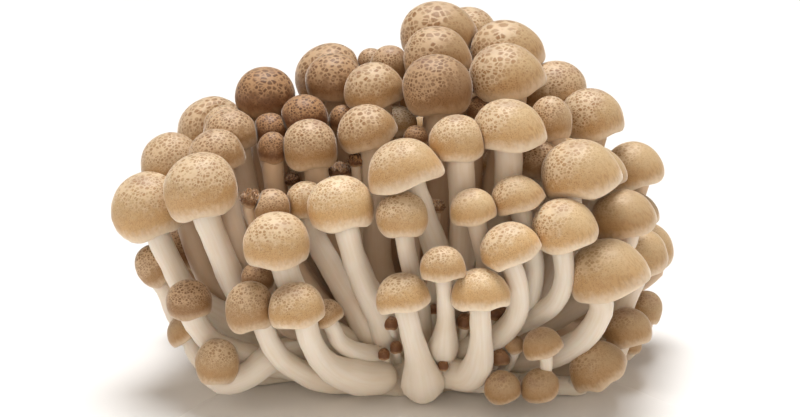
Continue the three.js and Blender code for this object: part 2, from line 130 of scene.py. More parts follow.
def paint(code):
    """A hex colour, as the light that it stands for."""
    parts = [int(code[i : i + 2], 16) / 255 for i in (0, 2, 4)]
    return (*[((part + 0.055) / 1.055) ** 2.4 for part in parts], 1)


def uneven(spot, size, seed=0):
    """A number near -1 to 1 that drifts over a distance of about size."""
    return noise.noise(spot / size + Vector((0, 0, 7.3 * seed)))


def finish_piece(name, body, finish, node):
    """Turns a body in millimetres into a named piece that stands for a solid."""
    bmesh.ops.recalc_face_normals(body, faces=body.faces)
    bmesh.ops.scale(body, vec=(0.001, 0.001, 0.001), verts=body.verts)
    for face in body.faces:
        face.smooth = True
    mesh = bpy.data.meshes.new(name)
    body.to_mesh(mesh)
    body.free()
    mesh.materials.append(finish.material)
    piece = bpy.data.objects.new(name, mesh)
    bpy.context.scene.collection.objects.link(piece)
    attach(piece, "root")
    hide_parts(node)


wool = Finish(
    "woolly butt",
    Roughness=0.85,
    Subsurface_Weight=0.25,
    Subsurface_Radius=(1.0, 0.62, 0.4),
    Subsurface_Scale=0.002,
)
spot = wool.place()
drawn = wool.node("VectorMath", {"operation": "MULTIPLY"}, {0: spot, 1: (1, 1, 0.35)})
threads = wool.cloud(drawn, 2600, 4)
tufts = wool.cloud(spot, 420, 3)
stain = wool.step(wool.cloud(spot, 90, 3), 0.5, 0.75)
pale = wool.mix(tufts, paint("f1e8da"), paint("d3c0a6"))
wool.wire(
    wool.surface,
    {
        "Base Color": wool.mix(stain * 0.6, pale, paint("b79a78")),
        "Normal": wool.relief(threads * 0.5 + tufts, 0.9, 0.8),
    },
)

butt = bmesh.new()
bmesh.ops.create_icosphere(butt, subdivisions=6, radius=1)
everything = butt.verts[:] + butt.edges[:] + butt.faces[:]
bmesh.ops.bisect_plane(butt, geom=everything, plane_co=(0, 0, 0), plane_no=UP, clear_inner=True)
rim_edges = [edge for edge in butt.edges if edge.is_boundary]
bmesh.ops.contextual_create(butt, geom=rim_edges)
for vert in butt.verts:
    lump = 1 + 0.10 * uneven(vert.co, 0.35) + 0.05 * uneven(vert.co, 0.12, 1)
    fuzz = 0.012 * uneven(vert.co, 0.03, 2)
    reach = (lump + fuzz) * BUTT_INSET
    vert.co *= Vector((BUTT_WIDTH / 2, BUTT_DEPTH / 2, BUTT_HEIGHT)) * reach
    vert.co += STAND
    vert.co.z = max(vert.co.z, 0)
finish_piece("butt", butt, wool, "stems_and_butt")

# ------------------------------------------------------- the mushrooms on the left
# The fan that leans out to the left. Each mushroom is a solid cream stem that bends up
# from its foot on the butt and grows into the middle of its cap's gills. The outer caps
# are open and tan, and the ones nearest the middle are young and dark.

EYE_RAISE = math.radians(20)  # the front drawing looks down by this
EYE_DISTANCE, AIM_HEIGHT, AIM_UP = 600, 40, 48
OWN_SOLID = 11.7  # caps this wide have a solid of their own
STEM_SIDES, STEM_RINGS, FOOT_RINGS = 22, 26, 5
CURVE_STEPS = 12  # between two points of a stem's route
FURTHEST_OUT = 60  # how far out the outer caps stand
FOOT_SPREAD = 0.42  # how far out their feet stand, in the butt's width and depth
FOOT_HEIGHT = 0.3 * BUTT_HEIGHT
FOOT_SWELL, NECK_FLARE, NECK_STARTS = 0.5, 0.12, 0.82  # of the radius, and along the stem
SIGHTINGS, SIGHTED_SIDES = 24, 16  # tries at fitting a cap to its outline
SIGHTED_SHARES = (0, 0.15, 0.3, 0.45, 0.6, 0.73, 0.84, 0.92, 0.98, 1)
FLATTEST, TALLEST = 0.45, 0.98  # a cap's height over its width
LEAST_HEIGHT = 0.1  # above the table, in millimetres, for anything that grows out of the butt


def from_drawing(across, up, back):
    """The place at a given depth that shows at (across, up) on the front drawing."""
    cos, sin = math.cos(EYE_RAISE), math.sin(EYE_RAISE)
    slope = (up - AIM_UP) / EYE_DISTANCE
    rise = (slope * EYE_DISTANCE + back * (slope * cos - sin)) / (cos + slope * sin)
    away = back * cos - rise * sin
    return Vector((across * (EYE_DISTANCE + away) / EYE_DISTANCE, back, AIM_HEIGHT + rise)) + STAND


def to_drawing(point):
    """Where a point shows on the front drawing."""
    cos, sin = math.cos(EYE_RAISE), math.sin(EYE_RAISE)
    x, y, z = point - STAND
    rise = z - AIM_HEIGHT
    scale = EYE_DISTANCE / (EYE_DISTANCE + y * cos - rise * sin)
    return x * scale, AIM_UP + (y * sin + rise * cos) * scale


def cap_side(tall, shares):
    """Half of a cap's outline, from the edge of its underside up: (out, up) in radii and heights.

    A flat cap has a sharp margin, and a tall one is fullest a third of the way up.
    """
    young = min(1, max(0, (tall - 0.56) / 0.2))
    fullest = 0.07 + 0.31 * young
    dome = [((1 - share**2) ** 0.45, fullest + (1 - fullest) * share) for share in shares]
    return [(0.96 - 0.16 * young, 0), *dome]


def cap_in_box(outline, back, turn, skew):
    """The middle, width and tallness of the cap whose outline fills a box on the drawing."""
    left, right, bottom, top = outline
    across, up = (left + right) / 2, (bottom + top) / 2
    width, tall = right - left, (top - bottom) / (right - left)
    for _ in range(SIGHTINGS):
        middle, seen = from_drawing(across, up, back), []
        for out, rise in cap_side(tall, SIGHTED_SHARES):
            for k in range(SIGHTED_SIDES):
                angle = math.tau * k / SIGHTED_SIDES
                aside = out * math.cos(angle) + skew * (2 * rise - 1)
                spot = Vector((aside, out * math.sin(angle), (2 * rise - 1) * tall))
                seen.append(to_drawing(middle + turn @ spot * width / 2))
        acrosses, ups = zip(*seen)
        width *= 1 + 0.7 * ((right - left) / (max(acrosses) - min(acrosses)) - 1)
        tall *= 1 + 0.6 * ((top - bottom) / (max(ups) - min(ups)) - 1)
        tall = min(TALLEST, max(FLATTEST, tall))
        across += (left + right - max(acrosses) - min(acrosses)) / 2
        up += (bottom + top - max(ups) - min(ups)) / 2
    return from_drawing(across, up, back), width, tall


def bow_to(neck, below):
    """The way of a hidden stem: out of the butt, and up in a bow."""
    out = (neck - STAND) * Vector((1, 1, 0))
    share = FOOT_SPREAD / max(FURTHEST_OUT, out.length)
    foot = STAND + out * Vector((BUTT_WIDTH, BUTT_DEPTH, 0)) * share
    foot.z = FOOT_HEIGHT
    bow = foot.lerp(below, 0.5) + 0.1 * out
    bow.z -= 0.04 * neck.z
    return [foot, bow, below]


def tipped(lean, nod):
    """Leans a cap to the right and nods it to the front."""
    return Matrix.Rotation(math.radians(nod), 3, "X") @ Matrix.Rotation(math.radians(lean), 3, "Y")


class Mushroom:
    """Where one mushroom stands, its sizes in millimetres, how brown its cap is, partly as painted shade,
    and how much shade is painted on its stem.
    """

    def __init__(self, name, middle, width, tall, turn, skew, stem, tone, shade, route=()):
        self.name, self.middle, self.width, self.height = name, middle, width, width * tall
        self.skew, self.stem, self.tone, self.shade = skew, stem, tone, shade
        self.turn = turn.to_4x4()
        self.axis = self.turn @ UP
        self.seed = 0.37 * len(cluster)
        self.node = "cap_" + name if width >= OWN_SOLID else "stems_and_butt"
        neck = middle - self.axis * self.height / 2
        if route:
            self.neck = route[-1] + self.axis * (neck - route[-1]).dot(self.axis)
            self.route = list(route)
        else:
            self.neck = neck
            self.route = bow_to(neck, neck - self.axis * 0.14 * width)
        cluster.append(self)


cluster = []


def smooth_way(points, count):
    """Evenly spaced places along a smooth curve through the points, and its length."""
    ends = [2 * points[0] - points[1], *points, 2 * points[-1] - points[-2]]
    fine = []
    for before, start, end, after in zip(ends, ends[1:], ends[2:], ends[3:]):
        reach = (end - start).length / 3
        pull = (end - before).normalized() * reach
        push = (after - start).normalized() * reach
        fine += geometry.interpolate_bezier(start, start + pull, end - push, end, CURVE_STEPS + 1)[:-1]
    fine.append(points[-1])
    travelled = [0.0]
    for start, end in zip(fine, fine[1:]):
        travelled.append(travelled[-1] + (end - start).length)
    spaced, at = [], 0
    for i in range(count):
        wanted = travelled[-1] * i / (count - 1)
        while at < len(fine) - 2 and travelled[at + 1] < wanted:
            at += 1
        share = (wanted - travelled[at]) / (travelled[at + 1] - travelled[at])
        spaced.append(fine[at].lerp(fine[at + 1], share))
    return spaced, travelled[-1]


def stem_rings(one):
    """A stem's rings from its rounded foot to its flared neck, and the length of its route.

    A ring is its middle, the way it faces, its radius and how far along the stem it is.
    """
    spots, length = smooth_way([*one.route, one.neck + one.axis * 0.3 * one.height], STEM_RINGS)
    bulb_at, bulb = BULBS.get(one.name, (0, 0))
    rings = []
    for i, spot in enumerate(spots):
        along = i / (STEM_RINGS - 1)
        ahead = spots[min(i + 1, STEM_RINGS - 1)] - spots[max(i - 1, 0)]
        flare = NECK_FLARE * max(0, along - NECK_STARTS) / (1 - NECK_STARTS)
        swell = 0.9 + FOOT_SWELL * (1 - along) ** 1.6 + flare
        swell += bulb * math.exp(-(((along - bulb_at) / BULB_REACH) ** 2))
        rings.append((spot, ahead.normalized(), one.stem / 2 * swell, along))
    spot, ahead, radius, _ = rings[0]
    for i in range(1, FOOT_RINGS + 1):
        bend = math.radians(88 * i / FOOT_RINGS)
        back = spot - ahead * radius * math.sin(bend)
        rings.insert(0, (back, ahead, radius * math.cos(bend), 0))
    rings.append((*rings[-1][:2], 0, 1))
    rings[0] = (*rings[0][:2], 0, 0)
    return rings, length


def grow_stem(body, one):
    """A round, slightly dented bar through a stem's rings."""
    fibre, foot = body.verts.layers.float_vector["fibre"], body.verts.layers.float["foot"]
    shade = body.verts.layers.float["shade"]
    rings, length = stem_rings(one)
    turn = UP.rotation_difference(rings[0][1])
    turns = []
    for before, ring in zip([rings[0], *rings], rings):
        turn = before[1].rotation_difference(ring[1]) @ turn
        turns.append(turn)
    last = len(rings) - 1
    for vert in bmesh.ops.create_grid(body, x_segments=STEM_SIDES, y_segments=last, size=0.5)["verts"]:
        ring = round((vert.co.y + 0.5) * last)
        spot, _, radius, along = rings[ring]
        angle = math.tau * (vert.co.x + 0.5)
        out = Vector((math.cos(angle), math.sin(angle), 0))
        vert[fibre] = out * one.stem / 2 + UP * (along * length + 90 * one.seed)
        vert[foot], vert[shade] = 1 - along, one.shade
        out = turns[ring] @ out
        vert.co = spot + out * radius
        dent = 0.10 * uneven(vert.co, 5, one.seed) + 0.03 * uneven(vert.co, 1.6, one.seed)
        vert.co += out * radius * dent
        vert.co.z = max(vert.co.z, LEAST_HEIGHT)


def grow_stems(family):
    """All the stems of one family, as one piece."""
    body = bmesh.new()
    body.verts.layers.float_vector.new("fibre")
    body.verts.layers.float.new("foot")
    body.verts.layers.float.new("shade")
    for one in family:
        grow_stem(body, one)
    bmesh.ops.remove_doubles(body, verts=body.verts, dist=0.002)
    return body


def plant(name, rows, ways):
    """Stands one family of mushrooms on the butt, and makes its stems."""
    family = []
    for number, outline, back, tip, skew, stem, tone in rows:
        way = [from_drawing(*point) for point in ways.get(number, ())]
        turn = tipped(*tip)
        sizes = cap_in_box(outline, back, turn, skew)
        # The further back in the cluster a stem stands, the more painted shade it gets.
        inwards = min(1, max(0, (back - NO_SHADE_BACK) / (FULL_SHADE_BACK - NO_SHADE_BACK)))
        shade = SHADED_STEMS.get(f"{name}_{number}", inwards)
        family.append(Mushroom(f"{name}_{number}", *sizes, turn, skew, stem, tone, shade, way))
    finish_piece("stems_" + name, grow_stems(family), stem_flesh, "stems_and_butt")


NO_SHADE_BACK, FULL_SHADE_BACK = -16, 4  # stems get no painted shade up to here, and full painted shade from here on back
# How much painted shade the stems get that don't take it from their depth in the cluster.
SHADED_STEMS = {
    "left_1": 0, "left_2": 0, "left_3": 0.75, "left_7": 0.45, "left_10": 0.9, "left_15": 0.7,
    "left_18": 0.1, "left_20": 0, "left_21": 0, "hollow_1": 0.8, "hollow_2": 1, "hollow_3": 1,
    "hollow_7": 0.7, "middle_1": 0.35, "middle_2": 0.35, "right_1": 0.4, "right_5": 0.3, "right_10": 0.25,
    "right_13": 0.4, "front_7": 0.2, "front_11": 0.5,
}
BULB_REACH = 0.16  # along the stem, to either side
# Stems with a bulb: how far along it sits, and how much it adds to the radius.
BULBS = {
    "left_1": (0.45, 0.2),
    "left_3": (0.4, 0.55),
    "front_1": (0.25, 0.75),
    "front_2": (0.3, 0.7),
    "front_3": (0.3, 0.25),
    "front_8": (0.25, 0.25),
    "front_10": (0.25, 0.2),
}

stem_flesh = Finish(
    "stem flesh",
    Roughness=0.5,
    Subsurface_Weight=0.3,
    Subsurface_Radius=(1.0, 0.6, 0.38),
    Subsurface_Scale=0.002,
)
fibre, foot = stem_flesh.carried("fibre", "Vector"), stem_flesh.carried("foot")
stretch = stem_flesh.node("VectorMath", {"operation": "MULTIPLY"}, {0: fibre, 1: (1, 1, 0.07)})
streaks = stem_flesh.cloud(stretch, 1.6, 4)
silk = stem_flesh.cloud(stretch, 6, 3)
blush = stem_flesh.step(stem_flesh.cloud(fibre, 0.11, 2), 0.48, 0.72)
body_colour = stem_flesh.mix(stem_flesh.step(streaks, 0.3, 0.75), paint("efe6d9"), paint("e9ddcb"))
body_colour = stem_flesh.mix(blush * 0.25, body_colour, paint("e2cdb0"))
body_colour = stem_flesh.mix(foot * foot * 0.3, body_colour, paint("dfcbb0"))
# Painted shade: stems deep in the cluster are painted tan in patches, and their feet darker brown.
inner = stem_flesh.carried("shade")
painted_stem_shade = inner * (stem_flesh.cloud(fibre, 0.2, 2) * 0.5 + 0.45)
body_colour = stem_flesh.mix(painted_stem_shade, body_colour, paint("cfaa80"))
body_colour = stem_flesh.mix(inner * foot * 0.4, body_colour, paint("946c4c"))
stem_flesh.wire(
    stem_flesh.surface,
    {
        "Base Color": body_colour,
        "Roughness": streaks * 0.15 + 0.42,
        "Normal": stem_flesh.relief(streaks + silk * 0.4, 0.12, 0.3),
    },
)

# A row is one mushroom: its number, its cap's outline on the front drawing (left, right,
# bottom, top), how far back it stands, its lean and nod in degrees, its skew in radii, its
# stem's width, and how brown the cap is, partly its own colour and partly painted shade
# where other caps overhang it. The routes of the stems that show are (across, up, back),
# from the foot to just below the cap.
LEFT = [
    (1, (-72.2, -54, 39.6, 57.4), -12, (-15, 0), 0.05, 6.2, 0.25),
    (2, (-59.1, -40.8, 44.8, 62.1), -22, (-14, 0), 0.04, 6.8, 0.3),
    (3, (-65, -48.5, 49.6, 67.1), -2, (-24, 0), 0.04, 6, 0.4),
    (4, (-55.6, -38.5, 60.1, 76.1), 17, (-22, 0), 0.04, 5.6, 0.45),
    (5, (-49.5, -35.2, 61.5, 72.9), 0, (-10, 0), 0, 6.4, 0.6),
    (6, (-49, -38.2, 65.1, 73.9), 9, (-10, 0), 0, 5, 0.5),
    (7, (-52.9, -38.9, 55.9, 67.9), -10, (-14, 0), 0, 6.6, 0.55),
    (8, (-41.1, -26.2, 70.6, 83.4), 14, (0, 0), 0, 7.2, 0.95),
    (9, (-36.8, -28, 64.4, 71.9), 2, (0, 0), 0, 7.4, 1),
    (10, (-35.6, -28, 59.1, 67.2), -7, (0, 0), 0, 5.3, 0.95),
    (11, (-29.9, -18, 66.6, 76.5), 4, (0, 0), 0, 6, 1),
    (12, (-26.2, -9.5, 73.6, 89.4), 30, (-18, 0), 0.04, 6.2, 0.7),
    (13, (-23.7, -9.4, 74.4, 86.8), 18, (-8, 0), 0, 6.8, 0.8),
    (14, (-13.9, 0.9, 72.1, 84.6), 8, (-14, 0), -0.02, 6.6, 0.45),
    (15, (-29.4, -15.6, 57.5, 70.4), -8, (-4, 0), 0, 6.2, 0.5),
    (16, (-15.6, -0.8, 61.6, 74.1), -6, (-20, 0), -0.02, 6.6, 0.45),
    (17, (-17.8, -11, 66.9, 73.9), 6, (0, 0), 0, 3.6, 0.95),
    (18, (-66.3, -55.4, 27.6, 39.4), -9, (-35, 0), 0, 5, 0.55),
    (19, (-59.4, -49.9, 32.1, 44.4), 2, (10, 0), 0, 4, 0.8),
    (20, (-58.2, -48.5, 13.6, 22.6), -20, (-42, 0), 0, 5, 0.5),
    (21, (-58.5, -47.1, 19.9, 30.4), -27, (-9, 0), 0, 6.2, 0.7),
    (22, (-51.2, -40.1, 3.8, 15.6), -32, (4, 4), 0, 6.8, 0.45),
]
LEFT_STEMS = {
    1: [
        (-14, 12, -4), (-36, 16.5, -11), (-46, 22, -14), (-53.3, 27.5, -15), (-57, 34, -14.5),
        (-60, 40, -13),
    ],
    2: [(-12, 12, -8), (-31, 19.5, -19), (-40.5, 27.5, -22), (-44.5, 36.3, -23), (-48, 44.5, -22)],
    3: [
        (-12, 14, 0), (-36, 21, -4), (-46, 28, -7), (-50.2, 36, -7), (-52.2, 41.5, -6),
        (-53.5, 46, -5),
    ],
    4: [(-10, 16, 6), (-30, 26, 6), (-38, 38.8, 8), (-41.5, 47, 10), (-44.5, 56, 12)],
    5: [(-8, 14, 0), (-27, 32, -4), (-36, 47, -3), (-39.3, 57.5, -2)],
    7: [
        (-12, 13, -4), (-26, 20, -11), (-36, 30, -16), (-40, 37, -17), (-42.3, 45, -16),
        (-44, 54, -13),
    ],
    8: [(-10, 16, 6), (-26, 40, 11), (-33.5, 58, 13), (-34, 66, 13.5)],
    10: [(-10, 14, -4), (-26, 34, -8), (-31.2, 53.3, -8), (-31.7, 58.5, -7.5)],
    15: [(-8, 14, -4), (-17, 38, -9), (-20.5, 54, -9), (-20.9, 58, -9)],
    18: [(-16, 8, -4), (-40, 8, -12), (-50.5, 13, -14), (-56.4, 22, -12), (-58.5, 27.8, -10)],
    20: [(-18, 6, -10), (-40, 5.5, -18), (-47, 7.5, -21.5), (-50.8, 11.5, -21.5), (-52.4, 15.2, -20.5)],
    21: [(-20, 8, -16), (-36, 10.5, -24), (-46.5, 14.5, -27), (-51.3, 19.7, -28)],
    22: [(-12, 10, -14), (-26, 12.5, -23), (-33, 10, -28), (-39, 6, -30.5), (-45.5, 5, -31)],
}
plant("left", LEFT, LEFT_STEMS)

# ------------------------------------------------------------- the stunted ones
# They sit in the dark hollows between the others. Short of light and room, they stopped
# growing before they opened, on thin stems of the same clump, and some dried. Their stems
# are painted brown as shade, and their dark caps are partly painted shade too.

HOLLOW = [
    (1, (-37, -27.2, 44.6, 53), -20, (0, 0), 0, 4.4, 0.6),
    (2, (-39.7, -34.7, 47.5, 54), -20, (10, 0), 0, 3, 0.9),
    (3, (-18.2, -12, 55.6, 59.9), -4, (0, 0), 0, 3, 0.95),
    (4, (-28.9, -25.1, 53.6, 57.1), -3, (0, 0), 0, 2.4, 1),
    (5, (0.8, 7.2, 63.5, 68.8), -6, (0, 0), 0, 3.4, 0.9),
    (6, (-13, -9, 58.4, 62.2), -6, (0, 0), 0, 2.6, 1),
    (7, (6.7, 11.3, 46.8, 50.7), -18, (0, 0), 0, 2.4, 0.85),
    (8, (29.4, 40.2, 55.4, 65.2), -8, (0, 0), 0, 4.6, 0.6),
    (9, (16.6, 23.6, 69.4, 76.4), 6, (0, 0), 0, 3.6, 0.9),
]
HOLLOW_STEMS = {1: [(-10, 13, -12), (-24, 30, -20), (-30, 42, -21)]}
plant("hollow", HOLLOW, HOLLOW_STEMS)

# -------------------------------------------------------------------- the crown
# The tallest ones, with the coarsest net on their caps, on long thick stems that bow up
# out of the butt and are mostly hidden behind the others.

TOP = [
    (1, (0.1, 20, 85.6, 99.8), 32, (-5, 0), -0.06, 7.2, 0.5),
    (2, (9.5, 24.5, 86.6, 98.4), 45, (0, 0), 0, 6.6, 0.4),
    (3, (0.9, 18, 80.6, 93.6), 18, (-5, 0), -0.06, 7.4, 0.55),
    (4, (17.6, 36.4, 81.6, 95.1), 26, (-8, 0), -0.08, 7.6, 0.4),
    (5, (0.6, 18.1, 71, 86.6), 2, (-5, 0), -0.04, 7, 0.75),
    (6, (17.1, 36.3, 74.4, 89.4), 8, (-13, 0), -0.06, 8.6, 0.35),
    (7, (-10.9, -3.5, 80.6, 88.1), 32, (0, 0), 0, 4.8, 0.6),
    (8, (-7.5, 2.5, 79.1, 88.8), 22, (0, 0), 0, 5.2, 0.6),
    (9, (30.4, 46.5, 70.4, 84.9), 22, (4, 0), 0.08, 6.4, 0.45),
    (10, (40, 55.9, 64.9, 78.1), 10, (-8, 0), -0.06, 6.2, 0.3),
    (11, (32.5, 43, 64.6, 76.3), -3, (-8, 0), 0, 6.4, 0.45),
]
plant("top", TOP, {})

# ------------------------------------------------------ the middle of the front
# Four pale tan caps on bare cream stems, which rise side by side out of the butt and bend
# forward a little under their caps.

MIDDLE = [
    (1, (7.1, 21.4, 59.5, 71.5), -18, (0, 0), 0, 6.8, 0.25),
    (2, (18.4, 37, 62, 75.4), -14, (-5, 0), -0.08, 7, 0.2),
    (3, (-8.2, 10.8, 51.4, 65.6), -25, (-17, -8), 0, 6.4, 0.25),
    (4, (-6, 7.1, 40.6, 52.4), -31, (-4, 0), 0, 4.8, 0.3),
]
MIDDLE_STEMS = {
    1: [(7, 13, -10), (13.4, 28, -18), (15.7, 40, -20), (15.5, 52, -20), (15.2, 58, -19.5)],
    2: [(12, 14, -8), (22, 36, -16), (26.5, 52, -17), (27.2, 60, -16)],
    3: [(7, 13, -14), (10.3, 28, -20), (9.2, 37, -23), (6.4, 45, -24.5), (4, 51.5, -25)],
    4: [(6, 13, -16), (5, 22, -24), (3, 31.3, -29), (1.2, 40, -31)],
}
plant("middle", MIDDLE, MIDDLE_STEMS)

# --------------------------------------------------- the mushrooms on the right
# The fan that leans out to the right. Its caps are an even tan with a fainter net, each a
# little over the next, and its stems run out low from the butt before they bend up.

RIGHT = [
    (1, (35.2, 55.2, 49.5, 65.4), -18, (-14, 0), -0.04, 6.4, 0.25),
    (2, (40.2, 56.8, 50.1, 63.6), -6, (-10, 0), -0.04, 6.8, 0.35),
    (3, (51, 65.8, 52.4, 64.8), 11, (-14, 0), -0.02, 5.8, 0.3),
    (4, (22.8, 36.2, 46.2, 56.4), -24, (-17, -5), -0.04, 5.4, 0.3),
    (5, (12.5, 24.2, 43.4, 53.1), -28, (-12, 0), 0, 4.8, 0.2),
    (6, (32.8, 49.4, 36.6, 50.6), -28, (-14, 0), -0.04, 5.2, 0.15),
    (7, (47.9, 64, 39.8, 52.9), -11, (-15, 0), -0.04, 6, 0.4),
    (8, (51.5, 64.6, 41.1, 52.1), 7, (-15, 0), 0, 5.4, 0.35),
    (9, (42.2, 62.4, 24, 40.5), -26, (-21, 0), -0.04, 6.2, 0.3),
    (10, (52.5, 66.6, 29.2, 43.1), -3, (-25, 0), 0, 6.6, 0.35),
    (11, (55.5, 68.1, 31.6, 44.5), 13, (-20, 0), 0, 4.8, 0.35),
    (12, (57.2, 65.6, 18.6, 27.5), 2, (10, 0), 0, 5, 0.45),
    (13, (50.4, 63.2, 13, 23.3), -14, (-10, 0), 0, 7.2, 0.5),
    (14, (54.5, 60.4, 11.4, 16.6), -8, (0, 0), 0, 3.4, 0.5),
    (15, (42.3, 56.6, 2, 15), -26, (-28, 6), 0, 5, 0.5),
]
RIGHT_STEMS = {
    1: [(16, 14, -6), (32.5, 25, -12), (39.5, 38, -15), (42.5, 48, -17)],
    4: [(14, 13, -12), (28.5, 20, -20), (32.5, 27, -24), (33.3, 35, -25), (31, 44.5, -25)],
    5: [(13, 12, -16), (21, 24, -24), (21.4, 35, -27), (19.2, 43.5, -28)],
    6: [(16, 13, -14), (30, 19.5, -22), (37.5, 23.5, -26), (40.8, 29, -28.5), (40.9, 36, -29)],
    8: [(18, 11, 4), (37, 16.5, 10), (46, 22, 11), (51.5, 30, 11.5), (55.5, 38, 9.5)],
    9: [(18, 11, -14), (35, 11, -22), (43.5, 13.8, -26), (48, 18, -28.5), (50.4, 23.7, -29.5)],
    10: [(18, 10, 0), (46, 13, -7), (53.2, 19.5, -8), (56.4, 26, -7.5), (59.3, 33, -5)],
    13: [(20, 8, -6), (44, 9, -12), (54, 13, -14)],
    15: [(20, 6, -14), (36, 4, -22), (45.5, 4, -25)],
}
plant("right", RIGHT, RIGHT_STEMS)

# ---------------------------------------------- the small ones low on the right
# They grew straight outwards under the fan, so their short stems lie nearly flat, and the
# two lowest caps are tipped to face forward.

LOW = [
    (1, (20.9, 30.2, -1, 7.6), -35, (-8, 22), 0, 4, 0.55),
    (2, (30.2, 40, -0.8, 8.2), -34, (-14, 20), 0, 4, 0.55),
    (3, (30.7, 40.7, 10, 18.4), -33, (-18, 0), 0, 3.4, 0.5),
    (4, (25.9, 31.3, 11.5, 16.2), -28, (-8, 0), 0, 2.6, 0.6),
    (5, (22.5, 27.6, 8.6, 13.2), -29, (-4, 0), 0, 2.6, 0.9),
]
LOW_STEMS = {
    1: [(12, 5, -18), (22, 4, -29)],
    2: [(16, 5, -18), (32, 4, -29)],
    3: [(18, 6, -18), (34, 5, -28), (36.6, 9.3, -33)],
    4: [(18, 8, -18), (26, 8, -25), (28.5, 11.5, -28)],
    5: [(18, 7, -18), (23.5, 8.8, -27)],
}
plant("low", LOW, LOW_STEMS)

# --------------------------------------------------------------------- the pins
# Mushrooms that stopped growing as a brown bead 3 to 5 millimetres wide, each on a stub
# that is part of the clump, low down between the stems of the others.

PIN = [
    (1, (9.4, 12.2, 7.3, 10.3), -31, (0, 0), 0, 2, 1),
    (2, (-5.5, -2.5, 10, 13.2), -28, (0, 0), 0, 2.2, 1),
    (3, (-2.6, 0.6, 11.6, 15), -27, (0, 0), 0, 2.2, 1),
    (4, (-4, -0.4, 17.5, 21.1), -27, (0, 0), 0, 2.2, 1),
    (5, (14.1, 18.3, 17.7, 21.9), -27.5, (0, 0), 0, 2.4, 1),
    (6, (21.7, 26.7, 19.9, 24.6), -24, (0, 0), 0, 2.6, 1),
    (7, (7.2, 9.8, 21.5, 24.2), -24, (0, 0), 0, 2, 1),
]
PIN_STEMS = {
    1: [(9, 6, -20), (10.6, 7.8, -29)],
    2: [(-2, 8, -18), (-3.6, 10.4, -26.5)],
    3: [(0, 9, -18), (-0.8, 12, -25.5)],
    4: [(0, 12, -18), (-2, 17.8, -26)],
    5: [(14, 12, -18), (16, 18, -26)],
    6: [(18, 12, -18), (23.8, 20.5, -23.5)],
    7: [(8, 12, -18), (8.4, 21.7, -23.5)],
}
plant("pin", PIN, PIN_STEMS)

# -------------------------------------------------------------- the nearest row
# Round, pale tan caps that stand in front of the rest, on stems that come out at the foot
# of the butt and curl up. Some of these stems are swollen low down.

FRONT = [
    (1, (-6, 7.9, 21.5, 32), -37, (-11, -8), -0.02, 5.6, 0.2),
    (2, (4.9, 16.5, 29.6, 38.7), -38, (-4, -8), 0, 4.2, 0.3),
    (3, (13, 27.6, 22.3, 33.2), -38, (-5, -10), 0, 5.4, 0.15),
    (4, (20, 35, 32, 44.7), -34, (-24, -6), 0, 5.2, 0.15),
    (5, (-39.1, -22.4, 32.6, 47.2), -33, (-4, 0), 0, 6.8, 0.25),
    (6, (-23.2, -6.6, 42.1, 56.3), -28, (-7, -9), 0, 6.2, 0.1),
    (7, (-28.6, -18.5, 45.2, 54.9), -17, (0, 0), 0, 6, 0.15),
    (8, (-33, -18.8, 17.7, 29.7), -39, (-8, 0), 0, 6, 0.25),
    (9, (-22.2, -14.2, 17.9, 25.4), -33, (-25, 0), 0.04, 4.2, 0.5),
    (10, (-43.8, -31.4, 16.9, 29.9), -35, (-10, 0), 0.04, 5.4, 0.5),
    (11, (-39.8, -31.2, 27.1, 34.6), -27, (0, 0), 0, 4, 0.75),
]
FRONT_STEMS = {
    1: [(6, 6.5, -21), (5.6, 5, -30.5), (5, 8.5, -31.5), (3.3, 15, -34), (2, 20.5, -36)],
    2: [(10.5, 13, -18), (10.8, 13.3, -28.5), (11.4, 20, -32), (11, 28.5, -37)],
    3: [(12, 7, -27), (17.5, 6.3, -31), (20, 11, -33.5), (20.1, 21.5, -37)],
    4: [(15, 12.5, -22), (23.5, 15.5, -27), (28.5, 20.5, -30.5), (29.7, 27, -32.5), (28.4, 32.3, -34)],
    5: [(-10, 12, -18), (-21, 18.5, -27), (-26.2, 27, -31), (-28.7, 33, -32.5)],
    6: [(-2.5, 11, -18), (-3, 14.5, -20.5), (-5, 21, -24), (-9.8, 31.3, -28), (-13.2, 42, -30.5)],
    7: [(-5, 12, -17), (-7.5, 16.5, -20), (-12, 25, -21), (-17.5, 34, -20), (-21.8, 42.6, -17.6)],
    8: [
        (-5, 5.8, -27), (-10, 5.9, -30), (-15.5, 7.2, -33), (-19.5, 10, -35), (-22, 14, -37),
        (-23.2, 18, -38.5),
    ],
    9: [(-5, 11, -24), (-10.5, 12, -28), (-15, 14.5, -31.5), (-17, 18.3, -33)],
    10: [(-10, 5.5, -22), (-19, 5.8, -27), (-25, 7.5, -31), (-30, 11, -33.5), (-33.5, 16.7, -35)],
    11: [(-10, 10, -16), (-28, 18, -24), (-33, 25.5, -27)],
}
plant("front", FRONT, FRONT_STEMS)

# ------------------------------------------------------ the back and the inside
# Mushrooms of the same kind in four rings round the back, which lean out further the
# lower they are, and three small ones inside the cluster.

# A row is one ring: height of the cap middles, half width, half depth, how many, cap width,
# lean outwards, and the angle kept clear at either side.
BACK_RINGS = {
    "back_high": (62, 42, 41, 5, 19.4, 14, 34),
    "back_middle": (45, 57, 49, 8, 17, 22, 20),
    "back_low": (24, 60, 46, 9, 9.6, 30, 12),
    "back_foot": (9, 51, 38, 5, 8.5, 40, 16),
    "inside": (55, 30, 14, 3, 10.5, 6, 0),
}
HIDDEN_STEM_SHARE = 0.4  # of the cap's width


def vary(index):
    """A number from -1 to 1 that differs from one whole number to the next."""
    return math.sin(index * 12.9898 + 1.7)


